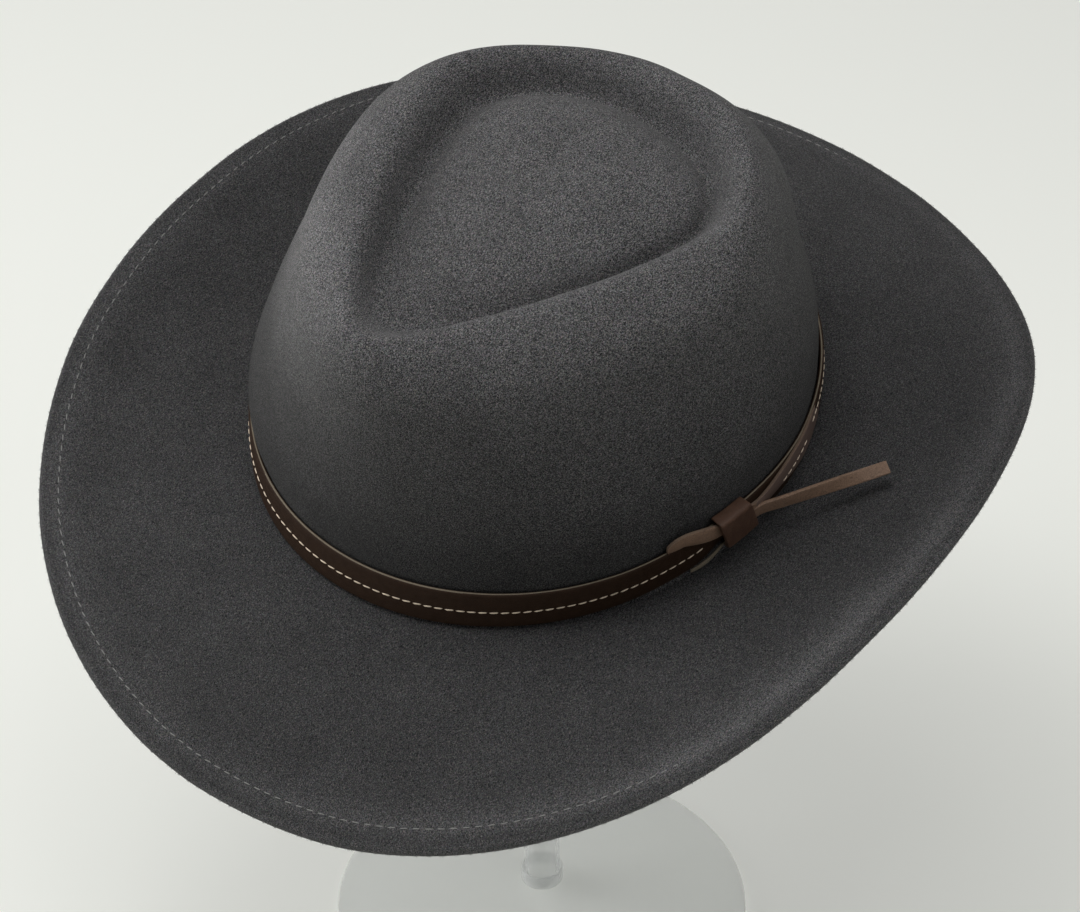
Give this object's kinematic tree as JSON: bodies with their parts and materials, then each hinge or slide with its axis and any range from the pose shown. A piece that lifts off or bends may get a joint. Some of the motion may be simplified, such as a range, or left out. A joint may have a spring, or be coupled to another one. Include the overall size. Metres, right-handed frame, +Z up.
{
  "type": "wide-brim felt fedora on a clear display stand",
  "caption": "Wide-brim felt hat with a teardrop crown, a stitched leather band and a thong knot, leaning on a clear acrylic rod stand with a round base.",
  "frame": {"origin": "middle of the underside of the stand's round base", "axes": "+Z up, +X to the front of the hat, +Y to the wearer's left"},
  "size_m": [0.3572, 0.3093, 0.3258],
  "materials": {
    "felt": "soft brushed felt, charcoal grey",
    "band_leather": "smooth dark brown leather with a raw edge",
    "thong_leather": "smooth mid-brown leather",
    "clear_acrylic": "clear polished acrylic"
  },
  "bodies": {
    "root": {"felt_body": "felt", "hat_band": "band_leather", "knot_wrap": "thong_leather", "tie_thong": "thong_leather", "loose_tail": "thong_leather", "stand_base": "clear_acrylic", "stand_collar": "clear_acrylic", "stand_rod": "clear_acrylic", "stand_top": "clear_acrylic"}
  },
  "joints": []
}
